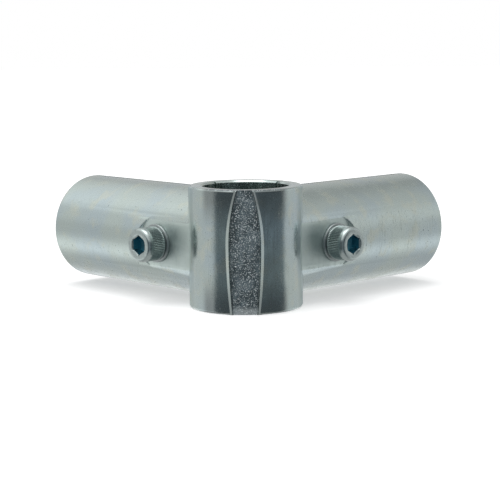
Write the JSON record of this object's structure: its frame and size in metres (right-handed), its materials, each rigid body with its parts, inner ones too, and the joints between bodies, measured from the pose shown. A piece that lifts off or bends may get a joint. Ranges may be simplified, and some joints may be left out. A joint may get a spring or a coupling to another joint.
{
  "type": "cross fitting",
  "caption": "Split cross fitting that clamps an upright through tube and the ends of level tubes set at a right angle, drawn together by socket head cap screws.",
  "frame": {"origin": "where the axes of the through bore and of the two socket bores meet, half way up the collar", "axes": "+Z along the through bore; the socket arms point towards (-1, +1, 0) and (+1, +1, 0); -Y is the outside of the corner, where the screw heads are"},
  "size_m": [0.1926, 0.123, 0.056],
  "materials": {
    "front_casting": "smooth casting, bright zinc plated",
    "rear_casting": "smooth casting, bright zinc plated",
    "screw_steel": "plated steel",
    "washer_steel": "plated steel",
    "nut_steel": "plated steel"
  },
  "bodies": {
    "front": {"front_shell": "front_casting", "left_screw_washer": "washer_steel", "right_screw_washer": "washer_steel"},
    "rear": {"rear_shell": "rear_casting"},
    "left_screw": {"left_cap_screw": "screw_steel"},
    "right_screw": {"right_cap_screw": "screw_steel"},
    "left_nut": {"left_nut": "nut_steel"},
    "right_nut": {"right_nut": "nut_steel"}
  },
  "joints": [
    {"name": "left_screw_turn", "type": "hinge", "parent": "front", "child": "left_screw", "pos_m": [-0.02531, 0.02531, 0], "axis": [-0.7071, -0.7071, 0], "range_deg": [0, 240.5]},
    {"name": "right_screw_turn", "type": "hinge", "parent": "front", "child": "right_screw", "pos_m": [0.02531, 0.02531, 0], "axis": [0.7071, -0.7071, 0], "range_deg": [0, 240.5]},
    {"name": "clamp_open", "type": "slide", "parent": "front", "child": "rear", "axis": [0, 1, 0], "range_m": [0, 0.00141]},
    {"name": "left_nut_shift", "type": "slide", "parent": "rear", "child": "left_nut", "axis": [0.7071, -0.7071, 0], "range_m": [0, 0.00101]},
    {"name": "right_nut_shift", "type": "slide", "parent": "rear", "child": "right_nut", "axis": [-0.7071, -0.7071, 0], "range_m": [0, 0.00101]}
  ],
  "couplings": [
    {"joint": "left_screw_turn", "follows": "clamp_open", "rad_per_m": 2961.9},
    {"joint": "right_screw_turn", "follows": "clamp_open", "rad_per_m": 2961.9},
    {"joint": "left_nut_shift", "follows": "clamp_open", "ratio": 0.70711},
    {"joint": "right_nut_shift", "follows": "clamp_open", "ratio": 0.70711}
  ]
}
